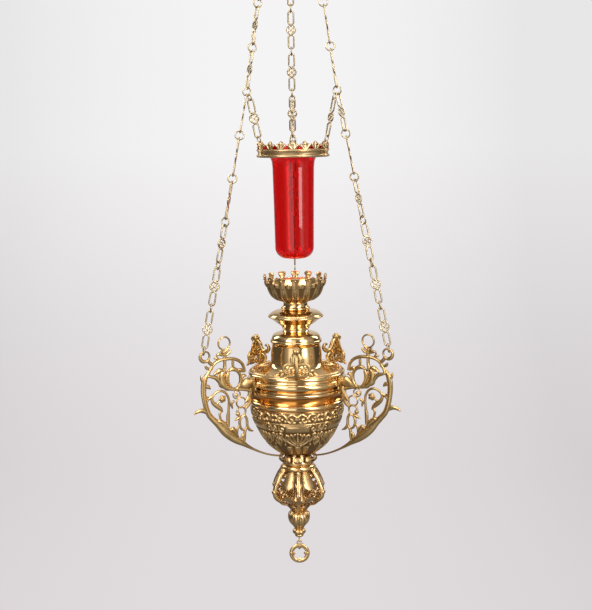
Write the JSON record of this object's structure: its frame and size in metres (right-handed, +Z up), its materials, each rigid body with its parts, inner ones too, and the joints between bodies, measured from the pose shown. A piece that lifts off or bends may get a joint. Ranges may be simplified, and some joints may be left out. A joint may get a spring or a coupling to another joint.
{
  "type": "sanctuary lamp",
  "caption": "Hanging brass sanctuary lamp: ruby glass cylinder in a crown ring over a turned bowl with three cast scroll arms, hung from a canopy by three link chains.",
  "frame": {"origin": "centre of the hole in the hanging plate", "axes": "+Z up, -Y towards the front bracket, +X to the right arm's side"},
  "size_m": [0.416, 0.3602, 1.3786],
  "materials": {
    "cast_brass": "cast and gilded, chased relief with darker hollows",
    "turned_brass": "spun and polished bright",
    "chain_brass": "pale, lightly worn",
    "fixing_brass": "turned, satin",
    "rod_iron": "plain threaded rod",
    "ruby_glass": "clear ruby, smooth"
  },
  "bodies": {
    "hanger": {"hanging_plate": "cast_brass"},
    "swivel": {"swivel_fork": "cast_brass", "fork_pin": "fixing_brass", "stem_nut": "fixing_brass"},
    "lamp": {"canopy": "turned_brass", "canopy_plate": "turned_brass", "canopy_hooks": "cast_brass", "hook_nuts": "fixing_brass", "left_chain_links": "chain_brass", "left_chain_rings": "chain_brass", "right_chain_links": "chain_brass", "right_chain_rings": "chain_brass", "back_chain_links": "chain_brass", "back_chain_rings": "chain_brass", "cup_gallery": "cast_brass", "candle_cup": "turned_brass", "cup_neck": "turned_brass", "drip_pan": "turned_brass", "neck_baluster": "turned_brass", "bell_cap": "turned_brass", "bell": "turned_brass", "shoulder_dish": "turned_brass", "leaf_band": "cast_brass", "rim_upper_moulding": "turned_brass", "rim_moulding": "turned_brass", "cove_ring": "turned_brass", "bowl_ring": "turned_brass", "bowl": "cast_brass", "left_arm": "cast_brass", "right_arm": "cast_brass", "back_arm": "cast_brass", "arm_screws": "fixing_brass", "left_bracket": "cast_brass", "right_bracket": "cast_brass", "front_bracket": "cast_brass", "bracket_screws": "fixing_brass", "pendant_collar": "cast_brass", "knop_core": "cast_brass", "knop_scrolls": "cast_brass", "knop_petals": "cast_brass", "pendant_vase": "cast_brass", "pendant_eye": "cast_brass", "tie_rod": "rod_iron", "cup_nut": "fixing_brass", "bowl_nut": "fixing_brass"},
    "left_short": {"left_short_chain": "chain_brass"},
    "right_short": {"right_short_chain": "chain_brass"},
    "back_short": {"back_short_chain": "chain_brass"},
    "crown": {"crown_ring": "turned_brass", "crown_cresting": "cast_brass", "crown_lugs": "cast_brass"},
    "glass": {"ruby_glass": "ruby_glass"},
    "pull": {"drop_ring": "cast_brass"}
  },
  "joints": [
    {"name": "lamp_swing", "type": "hinge", "parent": "hanger", "child": "swivel", "pos_m": [0, 0, -0.028], "axis": [0, 1, 0], "range_deg": [-15, 15]},
    {"name": "lamp_turn", "type": "hinge", "parent": "swivel", "child": "lamp", "pos_m": [0, 0, -0.06], "axis": [0, 0, 1], "continuous": true},
    {"name": "crown_sway", "type": "hinge", "parent": "lamp", "child": "crown", "pos_m": [0, 0, -0.78813], "axis": [0, 1, 0], "range_deg": [-1, 1]},
    {"name": "left_short_swing", "type": "hinge", "parent": "lamp", "child": "left_short", "pos_m": [-0.08536, -0.04928, -0.38032], "axis": [0, 1, 0], "range_deg": [-6, 6]},
    {"name": "right_short_swing", "type": "hinge", "parent": "lamp", "child": "right_short", "pos_m": [0.08536, -0.04928, -0.38032], "axis": [0, 1, 0], "range_deg": [-6, 6]},
    {"name": "back_short_swing", "type": "hinge", "parent": "lamp", "child": "back_short", "pos_m": [0, 0.09856, -0.38032], "axis": [0, 1, 0], "range_deg": [-6, 6]},
    {"name": "glass_lift", "type": "slide", "parent": "crown", "child": "glass", "axis": [0, 0, 1], "range_m": [0, 0.225]},
    {"name": "pull_swing", "type": "hinge", "parent": "lamp", "child": "pull", "pos_m": [0, 0, -1.3115], "axis": [1, 0, 0], "range_deg": [-75, 75]}
  ],
  "couplings": [
    {"joint": "left_short_swing", "follows": "crown_sway", "ratio": -3.4074},
    {"joint": "right_short_swing", "follows": "crown_sway", "ratio": -3.4074},
    {"joint": "back_short_swing", "follows": "crown_sway", "ratio": -3.4074}
  ]
}
